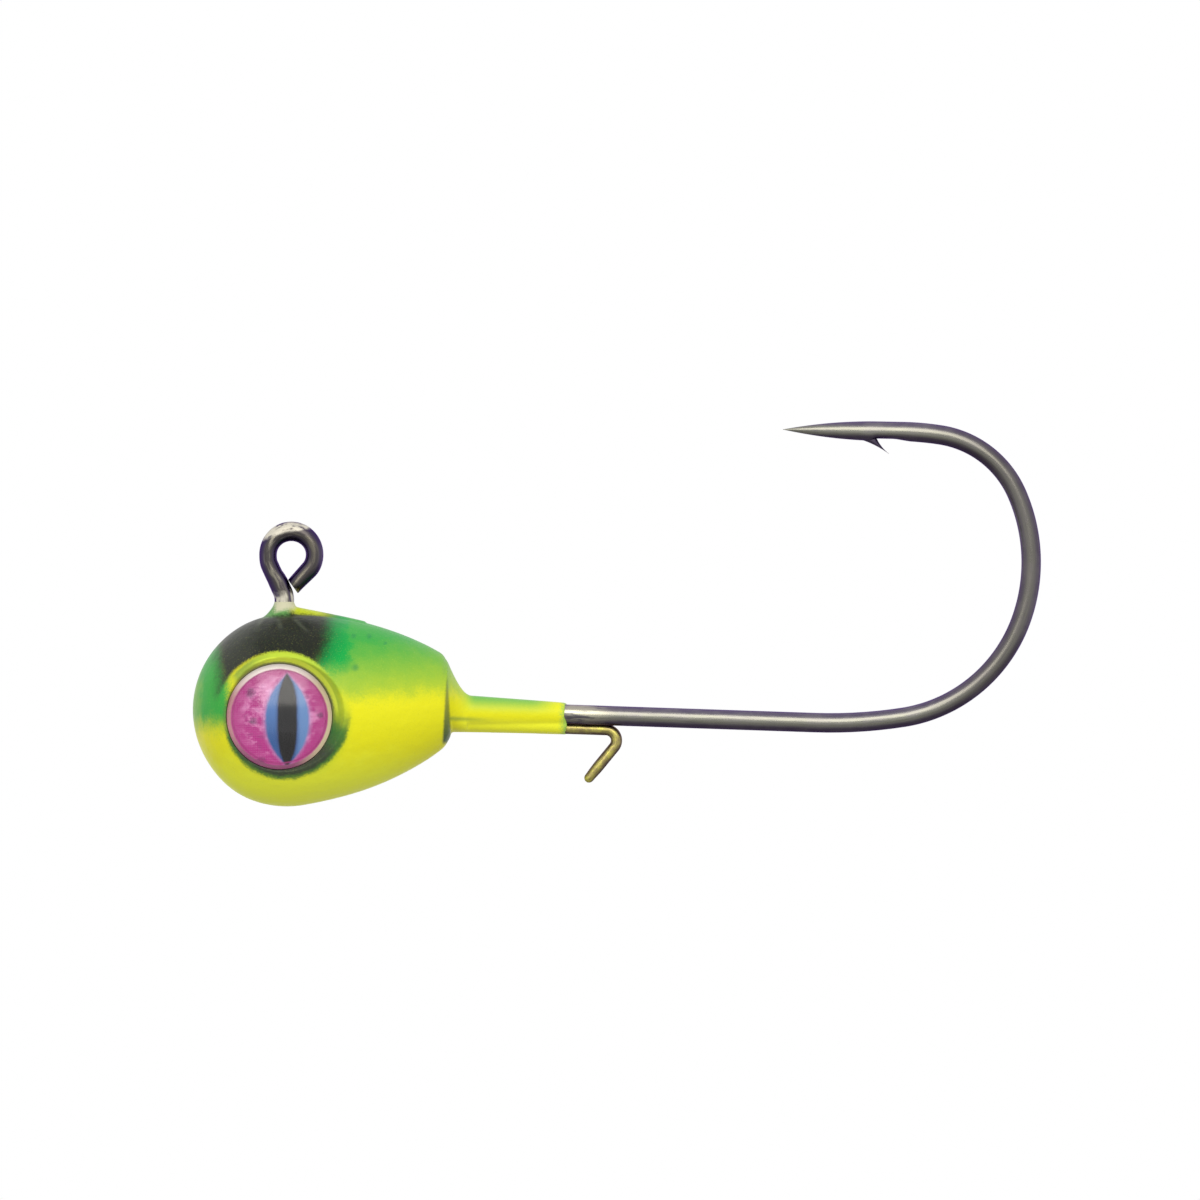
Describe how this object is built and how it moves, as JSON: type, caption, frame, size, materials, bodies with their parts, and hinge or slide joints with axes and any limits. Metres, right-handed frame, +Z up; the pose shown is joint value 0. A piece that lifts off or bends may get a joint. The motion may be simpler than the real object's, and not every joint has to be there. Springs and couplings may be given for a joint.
{
  "type": "jig head",
  "caption": "Painted ball-and-taper lead jig head cast on a long jig hook, with an upright line eye, domed stick-on eyes and a small wire barb that holds a soft bait on the shank.",
  "frame": {"origin": "centre of the hook's line eye", "axes": "+X back along the shank towards the gape bend, +Z up along the eye's leg, +Y to the jig's right; the jig's mid-plane is XZ"},
  "size_m": [0.0411, 0.0086, 0.0187],
  "materials": {
    "black_nickel": "dark nickel plate on forged steel wire, bright, purple-grey in the shade",
    "brass_wire": "drawn brass wire, bright",
    "lead": "bare cast lead alloy, dull; hidden under the paint",
    "head_paint": "gloss powder paint, chartreuse with airbrushed green shoulder and black back",
    "eye_adhesive": "white acrylic foam tape",
    "eye_print": "printed holographic foil, pink iris with a blue lens and a black slit",
    "eye_resin": "clear domed resin"
  },
  "bodies": {
    "root": {"hook": "black_nickel", "bait_keeper": "brass_wire", "head_casting": "lead", "paint_coat": "head_paint", "eye_pad_left": "eye_adhesive", "eye_film_left": "eye_print", "eye_dome_left": "eye_resin", "eye_pad_right": "eye_adhesive", "eye_film_right": "eye_print", "eye_dome_right": "eye_resin"}
  },
  "joints": []
}
